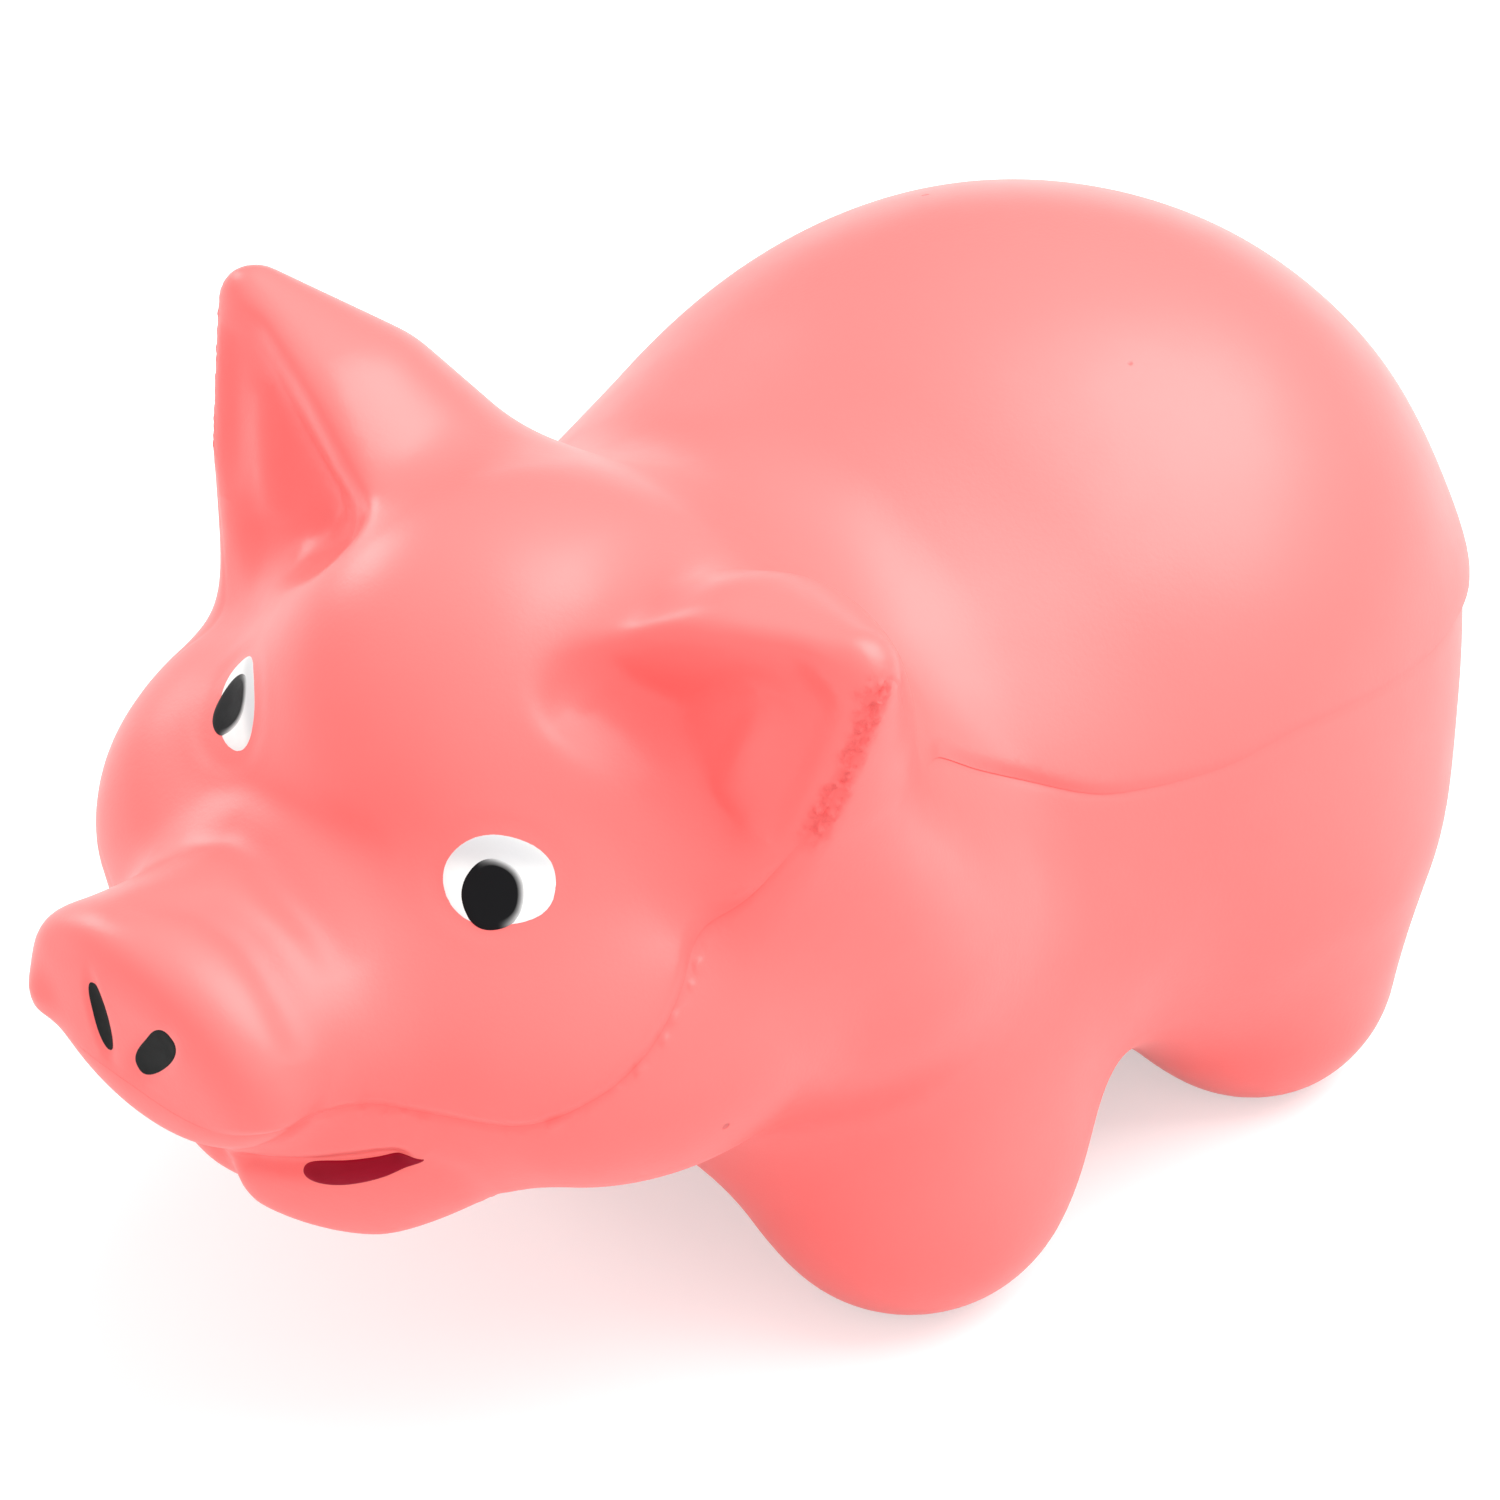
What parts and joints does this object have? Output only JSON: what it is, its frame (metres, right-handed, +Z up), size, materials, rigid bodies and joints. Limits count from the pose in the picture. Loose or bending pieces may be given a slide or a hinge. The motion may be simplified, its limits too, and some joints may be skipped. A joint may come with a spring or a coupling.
{
  "type": "foam animal stress toy",
  "caption": "Squeezy soft-foam pig with a smooth moulded coat, standing on short round legs, with pointed ears, a broad snout and a painted face.",
  "frame": {"origin": "on the ground under the middle of the pig's box", "axes": "+Z up, the pig faces -Y and its left side is +X"},
  "size_m": [0.0608, 0.1022, 0.0593],
  "materials": {
    "foam": "open-celled, matt",
    "coat": "satin",
    "white_paint": "satin",
    "black_paint": "satin",
    "red_paint": "satin"
  },
  "bodies": {
    "root": {"foam_core": "foam", "upper_skin": "coat", "lower_skin": "coat", "left_eye_white": "white_paint", "right_eye_white": "white_paint", "left_pupil": "black_paint", "right_pupil": "black_paint", "left_nostril": "black_paint", "right_nostril": "black_paint", "left_mouth": "red_paint", "right_mouth": "red_paint"}
  },
  "joints": []
}
